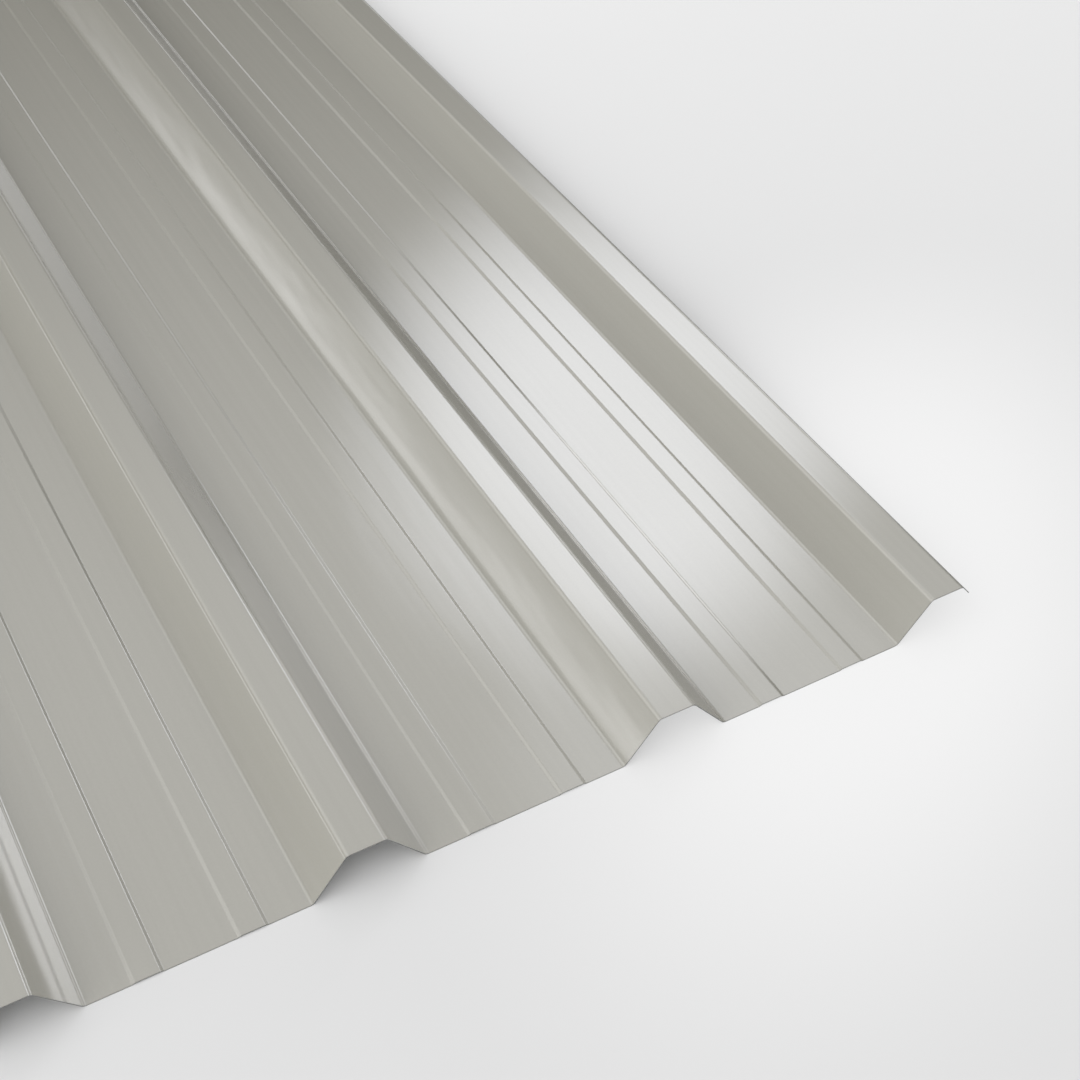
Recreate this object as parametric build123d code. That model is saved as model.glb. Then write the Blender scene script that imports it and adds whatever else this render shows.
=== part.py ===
from build123d import *
import math
import os

# Box-profile roofing and cladding sheet, roll-formed in one pass from a strip of coated steel.
# X runs across the sheet, Y along its length, and Z is up. The sheet lies on its pans, ribs upwards,
# and the origin is on the floor under the middle of the sheet.
# The section is set out on the middle line of the strip, from one sharp corner to the next.
# The bends are then rounded, the line gets the strip's thickness, and the section is extruded.

# Strip
thickness = 0.6
sheet_length = 2000

# Ribs: pitch is from one rib to the next, and pitch_count pitches make the cover width
pitch = 200
pitch_count = 5
crown_width = 24
web_run = 22.7
rib_rise = 29.4
rib_bend_radius = 4

# Two shallow swages that stiffen each pan, each a flat top between two short slopes
swage_spacing = 60
swage_top = 14
swage_slope_run = 2
swage_rise = 0.8
swage_bend_radius = 2

# Side laps: the underlapping edge stands on a narrow foot, and the overlapping edge ends in a short lip
foot_width = 12
lip_length = 10

pan_width = pitch - crown_width - 2 * web_run
web_slope = math.atan2(rib_rise, web_run)
pan_level = thickness / 2
swage_level = pan_level + swage_rise
crown_level = pan_level + rib_rise


def swage(centre):
    """The four corners of one swage, from left to right."""
    half_top = swage_top / 2
    half_base = half_top + swage_slope_run
    return [
        (centre - half_base, pan_level),
        (centre - half_top, swage_level),
        (centre + half_top, swage_level),
        (centre + half_base, pan_level),
    ]


def rib(left):
    """The four corners of one rib, which starts from the pan at left."""
    return [
        (left, pan_level),
        (left + web_run, crown_level),
        (left + web_run + crown_width, crown_level),
        (left + 2 * web_run + crown_width, pan_level),
    ]


# Corners of the middle line, from the foot on the left to the lip on the right.
# The last rib keeps its left web and its crown, and then turns down into the lip.
rib_corners = []
swage_corners = []
for count in range(pitch_count):
    rib_left = foot_width + count * pitch
    pan_middle = rib_left + pitch - pan_width / 2
    rib_corners += rib(rib_left)
    swage_corners += swage(pan_middle - swage_spacing / 2)
    swage_corners += swage(pan_middle + swage_spacing / 2)
last_rib = rib(foot_width + pitch_count * pitch)
rib_corners += last_rib[:3]
lip_root_x, lip_root_z = last_rib[2]
foot_end = (0, pan_level)
lip_end = (
    lip_root_x + lip_length * math.cos(web_slope),
    lip_root_z - lip_length * math.sin(web_slope),
)


def corner_points(corners, vertices):
    """The vertices of a line that lie on the given corners."""
    return [
        vertex for vertex in vertices
        if any(math.dist((vertex.X, vertex.Y), corner) < 0.001 for corner in corners)
    ]


with BuildLine() as middle_line:
    Polyline(foot_end, *sorted(rib_corners + swage_corners), lip_end)
    fillet(corner_points(rib_corners, middle_line.vertices()), rib_bend_radius)
    fillet(corner_points(swage_corners, middle_line.vertices()), swage_bend_radius)

upper_line = middle_line.wire().offset_2d(thickness / 2, side=Side.LEFT, closed=False)
lower_line = middle_line.wire().offset_2d(thickness / 2, side=Side.RIGHT, closed=False)
foot_edge = Line(lower_line @ 0, upper_line @ 1)
lip_edge = Line(lower_line @ 1, upper_line @ 0)
section = make_face([*lower_line.edges(), lip_edge, *upper_line.edges(), foot_edge])

sheet_width = section.bounding_box().size.X
section_across_sheet = Plane.XZ * Pos(-sheet_width / 2, 0) * section
sheet = extrude(section_across_sheet, sheet_length / 2, both=True)
sheet.label = "profiled_sheet"

os.makedirs("parts", exist_ok=True)
export_step(sheet, "parts/profiled_sheet.step")
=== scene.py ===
import math

import bpy
import numpy as np
from mathutils import Matrix, Vector


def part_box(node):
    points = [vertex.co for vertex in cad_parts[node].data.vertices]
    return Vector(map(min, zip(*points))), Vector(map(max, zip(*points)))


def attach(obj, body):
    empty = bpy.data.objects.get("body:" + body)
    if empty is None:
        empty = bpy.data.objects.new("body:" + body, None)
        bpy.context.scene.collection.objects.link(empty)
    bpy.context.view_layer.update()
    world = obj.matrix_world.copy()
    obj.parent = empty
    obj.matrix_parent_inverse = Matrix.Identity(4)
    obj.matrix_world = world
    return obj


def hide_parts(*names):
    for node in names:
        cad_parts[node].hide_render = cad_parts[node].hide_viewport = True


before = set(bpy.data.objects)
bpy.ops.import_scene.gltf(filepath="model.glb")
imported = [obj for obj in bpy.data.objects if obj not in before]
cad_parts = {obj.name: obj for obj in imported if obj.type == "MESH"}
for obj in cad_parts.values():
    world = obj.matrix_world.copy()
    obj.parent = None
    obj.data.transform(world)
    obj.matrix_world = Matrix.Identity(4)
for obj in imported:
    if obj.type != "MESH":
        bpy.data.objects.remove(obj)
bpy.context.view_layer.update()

# Box-profile sheet, bent from one strip of coated steel 0.6 mm thick by the rolls of a forming line.
# Across its width run six ribs at a 200 mm pitch with flat pans between them, and each pan carries two
# shallow stiffening swages. The left edge stands on a narrow foot, and the right edge ends in a short lip.
thickness = 0.0006
pitch = 0.200
pitch_count = 5
crown_width = 0.024
web_run = 0.0227
rib_rise = 0.0294
rib_bend_radius = 0.004
swage_spacing = 0.060
swage_top = 0.014
swage_slope_run = 0.002
swage_rise = 0.0008
swage_bend_radius = 0.002
foot_width = 0.012
lip_length = 0.010
bend_steps = 6
station_spacing = 0.080
painted_side = 0
primed_side = 1
cut_side = 2

sheet_low, sheet_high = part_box("profiled_sheet")
pan_width = pitch - crown_width - 2 * web_run
web_slope = math.atan2(rib_rise, web_run)
pan_level = sheet_low[2] + thickness / 2
crown_level = pan_level + rib_rise
swage_level = pan_level + swage_rise


def strip_corners():
    """Corners of the strip's middle line from the foot to the lip, with each corner's bend radius.

    A pitch is the same twelve corners moved along by the pitch: four of a rib, and four of each swage.
    """
    rib_x = np.array([0.0, web_run, web_run + crown_width, 2 * web_run + crown_width])
    rib_z = np.array([pan_level, crown_level, crown_level, pan_level])
    half_top = swage_top / 2
    half_base = half_top + swage_slope_run
    swage_x = np.array([-half_base, -half_top, half_top, half_base])
    swage_z = np.array([pan_level, swage_level, swage_level, pan_level])
    pan_middle = pitch - pan_width / 2
    one_pitch_x = np.concatenate([
        rib_x,
        swage_x + pan_middle - swage_spacing / 2,
        swage_x + pan_middle + swage_spacing / 2,
    ])
    one_pitch_z = np.concatenate([rib_z, swage_z, swage_z])
    one_pitch_radius = np.repeat([rib_bend_radius, swage_bend_radius, swage_bend_radius], 4)
    starts = foot_width + pitch * np.arange(pitch_count)[:, None]
    last_x = foot_width + pitch * pitch_count + rib_x[:3]
    lip_x = last_x[2] + lip_length * math.cos(web_slope)
    lip_z = crown_level - lip_length * math.sin(web_slope)
    x = np.concatenate([[0.0], (starts + one_pitch_x).ravel(), last_x, [lip_x]])
    z = np.concatenate([[pan_level], np.tile(one_pitch_z, pitch_count), rib_z[:3], [lip_z]])
    radius = np.concatenate([np.tile(one_pitch_radius, pitch_count), np.full(3, rib_bend_radius)])
    return np.stack([x, z], axis=1), radius


def rounded_line(corners, radius):
    """Points and upward normals of a line through the corners, with each inner corner turned into an arc.

    An arc starts radius * tan(turn / 2) before its corner. Its points are its centre plus the radius along
    the normal, which turns evenly from the run before the corner to the run after it.
    """
    runs = np.diff(corners, axis=0)
    heading = np.arctan2(runs[:, 1], runs[:, 0])
    along = np.stack([np.cos(heading), np.sin(heading)], axis=1)
    turn = np.diff(heading)
    start = corners[1:-1] - along[:-1] * (radius * np.tan(np.abs(turn) / 2))[:, None]
    side = np.sign(turn)
    first_normal = np.stack([-along[:-1, 1], along[:-1, 0]], axis=1)
    centre = start + first_normal * (side * radius)[:, None]
    steps = np.linspace(0.0, 1.0, bend_steps + 1)
    normal_angle = heading[:-1, None] + math.pi / 2 + turn[:, None] * steps
    normals = np.stack([np.cos(normal_angle), np.sin(normal_angle)], axis=2)
    arcs = centre[:, None, :] - normals * (side * radius)[:, None, None]
    last_normal = np.array([[-along[-1, 1], along[-1, 0]]])
    points = np.concatenate([corners[:1], arcs.reshape(-1, 2), corners[-1:]])
    all_normals = np.concatenate([first_normal[:1], normals.reshape(-1, 2), last_normal])
    return points, all_normals


def carried_strip(name):
    """A closed mesh: the strip's outline, which is its middle line moved half a thickness to either side,
    carried straight from one cut end to the other, and closed there by a cut face.

    Every face of the skin has the line's own normals at its corners, and the cut faces have flat ones.
    """
    line, normal = rounded_line(*strip_corners())
    lower = line - normal * thickness / 2
    upper = line + normal * thickness / 2
    middle_x = (lower[:, 0].min() + max(lower[:, 0].max(), upper[:, 0].max())) / 2
    count = len(line)
    outline = np.concatenate([lower, upper[::-1]])
    outline[:, 0] -= middle_x
    sides = len(outline)
    stations = max(2, round((sheet_high[1] - sheet_low[1]) / station_spacing) + 1)
    y = np.linspace(sheet_low[1], sheet_high[1], stations)
    points = np.empty((stations, sides, 3))
    points[:, :, 0] = outline[:, 0]
    points[:, :, 1] = y[:, None]
    points[:, :, 2] = outline[:, 1]

    index = np.arange(stations * sides).reshape(stations, sides)
    after = np.roll(index, -1, axis=1)
    skin = np.stack([index[:-1], index[1:], after[1:], after[:-1]], axis=2).reshape(-1, 4)
    under = np.arange(count - 1)
    over = sides - 1 - under
    near = index[0]
    far = index[-1]
    near_cap = np.stack([near[under], near[under + 1], near[over - 1], near[over]], axis=1)
    far_cap = np.stack([far[under], far[over], far[over - 1], far[under + 1]], axis=1)
    faces = np.concatenate([skin, near_cap, far_cap])

    side_normal = np.concatenate([-normal, normal[::-1]])
    first = side_normal.copy()
    second = np.roll(side_normal, -1, axis=0)
    foot_cut = np.array([-1.0, 0.0])
    lip_cut = np.array([math.cos(web_slope), -math.sin(web_slope)])
    first[count - 1] = lip_cut
    second[count - 1] = lip_cut
    first[-1] = foot_cut
    second[-1] = foot_cut
    corner_normals = np.zeros((stations - 1, sides, 4, 3))
    corner_normals[:, :, :2, ::2] = first[:, None]
    corner_normals[:, :, 2:, ::2] = second[:, None]
    cap_normals = np.zeros((2, count - 1, 4, 3))
    cap_normals[0, :, :, 1] = -1.0
    cap_normals[1, :, :, 1] = 1.0
    loop_normals = np.concatenate([corner_normals.reshape(-1, 3), cap_normals.reshape(-1, 3)])

    side_material = np.full(sides, painted_side, dtype=np.int32)
    side_material[:count - 1] = primed_side
    side_material[count - 1] = cut_side
    side_material[-1] = cut_side
    material_index = np.concatenate([
        np.tile(side_material, stations - 1),
        np.full(2 * (count - 1), cut_side, dtype=np.int32),
    ])

    mesh = bpy.data.meshes.new(name)
    mesh.from_pydata(points.reshape(-1, 3).tolist(), [], faces.tolist())
    mesh.polygons.foreach_set("material_index", material_index)
    mesh.polygons.foreach_set("use_smooth", np.ones(len(faces), dtype=bool))
    mesh.normals_split_custom_set(loop_normals.tolist())
    mesh.update()
    piece = bpy.data.objects.new(name, mesh)
    bpy.context.scene.collection.objects.link(piece)
    return piece


sheet = carried_strip("rolled_sheet")


def grain(tree, across, along, low, high):
    """A value wandering between low and high, in spots of this size in metres across and along the sheet.

    It is noise at the place divided by the spot's size, with the middle part of its range, from 0.3 to 0.7,
    stretched from low to high.
    """
    place = tree.nodes.new("ShaderNodeTexCoord")
    spots = tree.nodes.new("ShaderNodeMapping")
    spots.inputs["Scale"].default_value = (1 / across, 1 / along, 1 / across)
    noise = tree.nodes.new("ShaderNodeTexNoise")
    noise.inputs["Scale"].default_value = 1.0
    noise.inputs["Detail"].default_value = 3.0
    level = tree.nodes.new("ShaderNodeMapRange")
    level.inputs["From Min"].default_value = 0.3
    level.inputs["From Max"].default_value = 0.7
    level.inputs["To Min"].default_value = low
    level.inputs["To Max"].default_value = high
    tree.links.new(place.outputs["Object"], spots.inputs["Vector"])
    tree.links.new(spots.outputs["Vector"], noise.inputs["Vector"])
    tree.links.new(noise.outputs["Fac"], level.inputs["Value"])
    return level.outputs["Result"]


def product(tree, first, second):
    """The first value times the second."""
    node = tree.nodes.new("ShaderNodeMath")
    node.operation = "MULTIPLY"
    tree.links.new(first, node.inputs[0])
    tree.links.new(second, node.inputs[1])
    return node.outputs["Value"]


def relief(tree, height, depth, under=None):
    """A bump as high as the height from 0 to 1 times the depth in metres, laid over the bump under it."""
    node = tree.nodes.new("ShaderNodeBump")
    node.inputs["Distance"].default_value = depth
    tree.links.new(height, node.inputs["Height"])
    if under:
        tree.links.new(under, node.inputs["Normal"])
    return node.outputs["Normal"]


def varied(tree, color, value):
    """A colour times a value around 1, which makes it lighter and darker in places."""
    node = tree.nodes.new("ShaderNodeHueSaturation")
    node.inputs["Color"].default_value = color
    tree.links.new(value, node.inputs["Value"])
    return node.outputs["Color"]


# Warm grey gloss paint: a fine orange-peel grain, faint streaks from the coil coater's rollers along the
# sheet, slow waves in the flat parts, and a darker band of painted shade along the two cut ends.
paint_color = (0.340, 0.331, 0.293, 1.0)
edge_shade_width = 0.0006
edge_shade_core = 0.0002
edge_shade_level = 0.84
wave_depth = 0.00008
orange_peel_depth = 0.000001
top_coat = bpy.data.materials.new("top_coat")
top_coat.use_nodes = True
coat = top_coat.node_tree
paint = coat.nodes["Principled BSDF"]
coat_place = coat.nodes.new("ShaderNodeTexCoord")
coat_axes = coat.nodes.new("ShaderNodeSeparateXYZ")
coat.links.new(coat_place.outputs["Object"], coat_axes.inputs[0])
# Painted shade: the paint's colour darkens over the last 0.6 mm before each cut end, fully in the last 0.2
# mm.
from_middle = coat.nodes.new("ShaderNodeMath")
from_middle.operation = "ABSOLUTE"
coat.links.new(coat_axes.outputs["Y"], from_middle.inputs[0])
painted_edge_shade = coat.nodes.new("ShaderNodeMapRange")
painted_edge_shade.inputs["From Min"].default_value = sheet_high[1] - edge_shade_width
painted_edge_shade.inputs["From Max"].default_value = sheet_high[1] - edge_shade_core
painted_edge_shade.inputs["To Min"].default_value = 1.0
painted_edge_shade.inputs["To Max"].default_value = edge_shade_level
coat.links.new(from_middle.outputs["Value"], painted_edge_shade.inputs["Value"])
roller_streaks = grain(coat, across=0.004, along=0.9, low=0.985, high=1.015)
fine_mottle = grain(coat, across=0.0012, along=0.0016, low=0.988, high=1.012)
shade = product(coat, product(coat, roller_streaks, fine_mottle), painted_edge_shade.outputs["Result"])
paint_gloss = grain(coat, across=0.05, along=0.20, low=0.07, high=0.10)
clear_gloss = grain(coat, across=0.03, along=0.12, low=0.03, high=0.05)
pan_waves = grain(coat, across=0.06, along=0.30, low=0.0, high=1.0)
peel_dimples = grain(coat, across=0.0012, along=0.0012, low=0.0, high=1.0)
orange_peel = relief(coat, peel_dimples, orange_peel_depth, relief(coat, pan_waves, wave_depth))
coat.links.new(varied(coat, paint_color, shade), paint.inputs["Base Color"])
coat.links.new(paint_gloss, paint.inputs["Roughness"])
coat.links.new(clear_gloss, paint.inputs["Coat Roughness"])
coat.links.new(orange_peel, paint.inputs["Normal"])
coat.links.new(orange_peel, paint.inputs["Coat Normal"])
paint.inputs["Coat Weight"].default_value = 1.0
paint.inputs["Coat IOR"].default_value = 1.6
paint.inputs["IOR"].default_value = 2.0

# Light grey primer of the underside: a thin coat of paint that the same rollers put on, half matt, and
# streaked along the sheet.
primer_color = (0.42, 0.42, 0.40, 1.0)
primer_depth = 0.000004
backing_coat = bpy.data.materials.new("backing_coat")
backing_coat.use_nodes = True
primer = backing_coat.node_tree
backing = primer.nodes["Principled BSDF"]
primer_streaks = grain(primer, across=0.006, along=0.6, low=0.95, high=1.05)
primer_mottle = grain(primer, across=0.0015, along=0.0015, low=0.96, high=1.04)
primer_shade = product(primer, primer_streaks, primer_mottle)
primer_gloss = grain(primer, across=0.01, along=0.15, low=0.42, high=0.55)
primer_pores = grain(primer, across=0.0015, along=0.0015, low=0.0, high=1.0)
primer.links.new(varied(primer, primer_color, primer_shade), backing.inputs["Base Color"])
primer.links.new(primer_gloss, backing.inputs["Roughness"])
primer.links.new(relief(primer, primer_pores, primer_depth), backing.inputs["Normal"])

# Bare steel of the four cut edges: the coil's slit edges and the two sheared ends, with fine drag marks
# that the knives left in it.
steel_color = (0.50, 0.50, 0.49, 1.0)
drag_depth = 0.00001
cut_steel = bpy.data.materials.new("cut_steel")
cut_steel.use_nodes = True
shorn = cut_steel.node_tree
steel = shorn.nodes["Principled BSDF"]
drag_marks = grain(shorn, across=0.0004, along=0.0004, low=0.8, high=1.2)
steel_gloss = grain(shorn, across=0.0006, along=0.0006, low=0.38, high=0.55)
drag_grooves = grain(shorn, across=0.0003, along=0.0003, low=0.0, high=1.0)
shorn.links.new(varied(shorn, steel_color, drag_marks), steel.inputs["Base Color"])
shorn.links.new(steel_gloss, steel.inputs["Roughness"])
shorn.links.new(relief(shorn, drag_grooves, drag_depth), steel.inputs["Normal"])
steel.inputs["Metallic"].default_value = 0.9

# The three finishes lie in the order of painted_side, primed_side and cut_side.
for finish in (top_coat, backing_coat, cut_steel):
    sheet.data.materials.append(finish)
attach(sheet, "root")
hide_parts("profiled_sheet")

# Floor: a wide pale studio floor, a little sheeny, that takes the sheet's soft shadow. Its colour holds
# painted light, growing lighter from near to far. Only the camera sees the painted pool of light at its
# near right and its far part running over into the backdrop. The sheet's gloss shows it darker than it is,
# a painted dark reflection as if dark card lay along the sheet. Lengths are in metres.
floor_reach = 30.0
near_tone = 0.682
near_tone_end = -1.0
far_tone = 0.776
far_tone_start = -0.08
tone_left_in_gloss = 0.4
pool_middle = (0.49, -0.945, 0.0)
pool_turn = math.radians(38.7)
pool_half_size = (0.45, 0.262, 1.0)
pool_core = 0.775
pool_cover = 0.66
pool_level = 0.98
fade_start = 2.5
fade_end = 9.0
backdrop_level = 0.82


def ramp(tree, source, low, high, level):
    """A value that rises smoothly from 0 where the source is at low to level where it is at high.

    With t going evenly from 0 at low to 1 at high, it is level times t squared times (3 minus 2 t). Low may
    be the greater of the two.
    """
    node = tree.nodes.new("ShaderNodeMapRange")
    node.interpolation_type = "SMOOTHSTEP"
    node.inputs["From Min"].default_value = low
    node.inputs["From Max"].default_value = high
    node.inputs["To Max"].default_value = level
    tree.links.new(source, node.inputs["Value"])
    return node.outputs["Result"]


def covered(tree, below, above, share):
    """One shader laid over another where share is 1, and mixed in with it where share is less."""
    node = tree.nodes.new("ShaderNodeMixShader")
    tree.links.new(share, node.inputs["Fac"])
    tree.links.new(below, node.inputs[1])
    tree.links.new(above, node.inputs[2])
    return node.outputs["Shader"]


floor_mesh = bpy.data.meshes.new("studio_floor")
floor_corners = [
    (-floor_reach, -floor_reach, sheet_low[2]),
    (floor_reach, -floor_reach, sheet_low[2]),
    (floor_reach, floor_reach, sheet_low[2]),
    (-floor_reach, floor_reach, sheet_low[2]),
]
floor_mesh.from_pydata(floor_corners, [], [(0, 1, 2, 3)])
floor = bpy.data.objects.new("studio_floor", floor_mesh)
bpy.context.scene.collection.objects.link(floor)
floor_paint = bpy.data.materials.new("floor_paint")
floor_paint.use_nodes = True
floor_nodes = floor_paint.node_tree
floor_finish = floor_nodes.nodes["Principled BSDF"]
floor_finish.inputs["Roughness"].default_value = 0.65
floor_finish.inputs["IOR"].default_value = 1.35
floor_ray = floor_nodes.nodes.new("ShaderNodeLightPath")
floor_place = floor_nodes.nodes.new("ShaderNodeTexCoord")
floor_axes = floor_nodes.nodes.new("ShaderNodeSeparateXYZ")
floor_nodes.links.new(floor_place.outputs["Object"], floor_axes.inputs[0])
# Painted light: the floor's colour grows lighter from the near end towards the far one, as light that falls
# unevenly on it.
painted_floor_light = floor_nodes.nodes.new("ShaderNodeMapRange")
painted_floor_light.inputs["From Min"].default_value = near_tone_end
painted_floor_light.inputs["From Max"].default_value = far_tone_start
painted_floor_light.inputs["To Min"].default_value = near_tone
painted_floor_light.inputs["To Max"].default_value = far_tone
floor_nodes.links.new(floor_axes.outputs["Y"], painted_floor_light.inputs["Value"])
# Painted reflection: in rays reflected off the sheet, the floor's colour is darkened to 0.4 of itself.
reflected_floor_shade = floor_nodes.nodes.new("ShaderNodeMath")
reflected_floor_shade.operation = "MULTIPLY_ADD"
reflected_floor_shade.inputs[1].default_value = tone_left_in_gloss - 1.0
reflected_floor_shade.inputs[2].default_value = 1.0
floor_nodes.links.new(floor_ray.outputs["Is Glossy Ray"], reflected_floor_shade.inputs[0])
floor_color = product(floor_nodes, painted_floor_light.outputs["Result"], reflected_floor_shade.outputs["Value"])
floor_nodes.links.new(floor_color, floor_finish.inputs["Base Color"])

# The pool is an ellipse whose gradient falls evenly from 1 at its middle to 0 at its edge.
pool_place = floor_nodes.nodes.new("ShaderNodeMapping")
pool_place.vector_type = "TEXTURE"
pool_place.inputs["Location"].default_value = pool_middle
pool_place.inputs["Rotation"].default_value = (0.0, 0.0, pool_turn)
pool_place.inputs["Scale"].default_value = pool_half_size
floor_nodes.links.new(floor_place.outputs["Object"], pool_place.inputs["Vector"])
pool = floor_nodes.nodes.new("ShaderNodeTexGradient")
pool.gradient_type = "SPHERICAL"
floor_nodes.links.new(pool_place.outputs["Vector"], pool.inputs["Vector"])
pool_shape = ramp(floor_nodes, pool.outputs["Fac"], 0.0, pool_core, pool_cover)
# Painted light: the pool glows for camera rays only, laid over the floor and the shadow on it.
pool_seen = product(floor_nodes, pool_shape, floor_ray.outputs["Is Camera Ray"])
pool_glow = floor_nodes.nodes.new("ShaderNodeEmission")
pool_glow.inputs["Strength"].default_value = pool_level

# The backdrop takes over as the floor gets further from the sheet's middle.
distance = floor_nodes.nodes.new("ShaderNodeVectorMath")
distance.operation = "LENGTH"
floor_nodes.links.new(floor_place.outputs["Object"], distance.inputs[0])
far_off = ramp(floor_nodes, distance.outputs["Value"], fade_start, fade_end, 1.0)
backdrop_seen = product(floor_nodes, far_off, floor_ray.outputs["Is Camera Ray"])
backdrop_glow = floor_nodes.nodes.new("ShaderNodeEmission")
backdrop_glow.inputs["Strength"].default_value = backdrop_level
lit_floor = covered(floor_nodes, floor_finish.outputs["BSDF"], pool_glow.outputs["Emission"], pool_seen)
whole_floor = covered(floor_nodes, lit_floor, backdrop_glow.outputs["Emission"], backdrop_seen)
floor_nodes.links.new(whole_floor, floor_nodes.nodes["Material Output"].inputs["Surface"])
floor_mesh.materials.append(floor_paint)

# Studio light, all of it painted in the world: a broad soft ceiling, a low strip of light on the left,
# large fills to the left, in front and to the right, small patches low at the back, and the cool key light
# high at the back right. The camera sees the even backdrop in its place.
soft_color = (1.0, 1.0, 1.0, 1.0)
key_color = (0.915, 0.935, 1.0, 1.0)
ceiling_edge = math.sin(math.radians(22))
ceiling_full = math.sin(math.radians(50))
ceiling_level = 0.735
wide_strip_top = math.radians(36)
wide_strip_full = math.radians(14)
wide_strip_level = 0.34
narrow_strip_top = math.radians(10.9)
narrow_strip_full = math.radians(9.0)
narrow_strip_level = 1.42
strip_left_start = 0.40
strip_left_full = 0.65
studio = bpy.data.worlds.new("studio")
bpy.context.scene.world = studio
studio.use_nodes = True
air = studio.node_tree
air.nodes.clear()

# In the world this coordinate is the ray's direction, one long, so its Z is the sine of the elevation.
air_place = air.nodes.new("ShaderNodeTexCoord")
air_axes = air.nodes.new("ShaderNodeSeparateXYZ")
air.links.new(air_place.outputs["Generated"], air_axes.inputs[0])


def patch(heading, elevation, inner, outer, level):
    """A soft round patch of light, full inside the inner angle and gone at the outer one.

    All angles are in degrees, and the heading is from the back towards the right. The level rises with the
    cosine of the angle between the ray and the patch's middle, which is their dot product.
    """
    toward = Vector((
        math.sin(math.radians(heading)) * math.cos(math.radians(elevation)),
        math.cos(math.radians(heading)) * math.cos(math.radians(elevation)),
        math.sin(math.radians(elevation)),
    ))
    dot = air.nodes.new("ShaderNodeVectorMath")
    dot.operation = "DOT_PRODUCT"
    dot.inputs[1].default_value = toward
    air.links.new(air_place.outputs["Generated"], dot.inputs[0])
    rim = math.cos(math.radians(outer))
    core = math.cos(math.radians(inner))
    return ramp(air, dot.outputs["Value"], rim, core, level)


def total(lights):
    """The sum of the lights' levels."""
    so_far = lights[0]
    for light in lights[1:]:
        node = air.nodes.new("ShaderNodeMath")
        node.operation = "ADD"
        air.links.new(so_far, node.inputs[0])
        air.links.new(light, node.inputs[1])
        so_far = node.outputs["Value"]
    return so_far


def lamp(strength, color):
    """Light of one colour from all of the world, as strong as the painted value."""
    node = air.nodes.new("ShaderNodeBackground")
    node.inputs["Color"].default_value = color
    air.links.new(strength, node.inputs["Strength"])
    return node.outputs["Background"]


# A ray's climb is the angle that it rises above the floor as it goes to the left.
leftward = air.nodes.new("ShaderNodeMath")
leftward.operation = "MULTIPLY"
leftward.inputs[1].default_value = -1.0
air.links.new(air_axes.outputs["X"], leftward.inputs[0])
climb = air.nodes.new("ShaderNodeMath")
climb.operation = "ARCTAN2"
air.links.new(air_axes.outputs["Z"], climb.inputs[0])
air.links.new(leftward.outputs["Value"], climb.inputs[1])
wide_strip = ramp(air, climb.outputs["Value"], wide_strip_top, wide_strip_full, wide_strip_level)
narrow_strip = ramp(air, climb.outputs["Value"], narrow_strip_top, narrow_strip_full, narrow_strip_level)
on_left = ramp(air, leftward.outputs["Value"], strip_left_start, strip_left_full, 1.0)
left_strip = product(air, total([wide_strip, narrow_strip]), on_left)
ceiling = ramp(air, air_axes.outputs["Z"], ceiling_edge, ceiling_full, ceiling_level)
left_fill = patch(heading=-104, elevation=32, inner=10, outer=45, level=2.15)
front_fill = patch(heading=180, elevation=15, inner=30, outer=75, level=0.62)
right_fill = patch(heading=110, elevation=30, inner=10, outer=45, level=0.35)
low_back = patch(heading=0, elevation=0, inner=8, outer=26, level=0.8)
high_back_left = patch(heading=-42, elevation=42, inner=6, outer=24, level=0.35)
first_back_right = patch(heading=32, elevation=13, inner=6, outer=12, level=0.7)
second_back_right = patch(heading=49, elevation=21, inner=5, outer=11, level=0.85)
third_back_right = patch(heading=52, elevation=12, inner=3.5, outer=6.5, level=1.8)
key_core = patch(heading=31.9, elevation=40.1, inner=0, outer=9.8, level=2.04)
key_tail = patch(heading=37.5, elevation=49.5, inner=3, outer=8, level=0.42)
fills = total([ceiling, left_strip, left_fill, front_fill, right_fill])
back_lights = total([low_back, high_back_left, first_back_right, second_back_right, third_back_right])
all_lights = air.nodes.new("ShaderNodeAddShader")
air.links.new(lamp(total([fills, back_lights]), soft_color), all_lights.inputs[0])
air.links.new(lamp(total([key_core, key_tail]), key_color), all_lights.inputs[1])
backdrop = air.nodes.new("ShaderNodeBackground")
backdrop.inputs["Strength"].default_value = backdrop_level
backdrop.inputs["Color"].default_value = soft_color
air_ray = air.nodes.new("ShaderNodeLightPath")
whole_air = covered(
    air,
    all_lights.outputs["Shader"],
    backdrop.outputs["Background"],
    air_ray.outputs["Is Camera Ray"],
)
air_output = air.nodes.new("ShaderNodeOutputWorld")
air.links.new(whole_air, air_output.inputs["Surface"])

# Camera: it looks down along the ribs from in front of the near cut end, and the far end leaves its frame.
# Its place is in metres, its heading is from the back towards the right, and its tilt is downwards.
camera_place = Vector((-0.0775, -1.5397, 0.8083))
camera_heading = math.radians(29.017)
camera_tilt = math.radians(43.970)
camera_roll = math.radians(0.071)
camera_data = bpy.data.cameras.new("camera")
camera_data.sensor_width = 36.0
camera_data.lens = 57.85
camera = bpy.data.objects.new("camera", camera_data)
bpy.context.scene.collection.objects.link(camera)
camera.matrix_world = (
    Matrix.Translation(camera_place)
    @ Matrix.Rotation(-camera_heading, 4, "Z")
    @ Matrix.Rotation(math.pi / 2 - camera_tilt, 4, "X")
    @ Matrix.Rotation(camera_roll, 4, "Z")
)
bpy.context.scene.camera = camera
bpy.context.scene.view_settings.view_transform = "Standard"
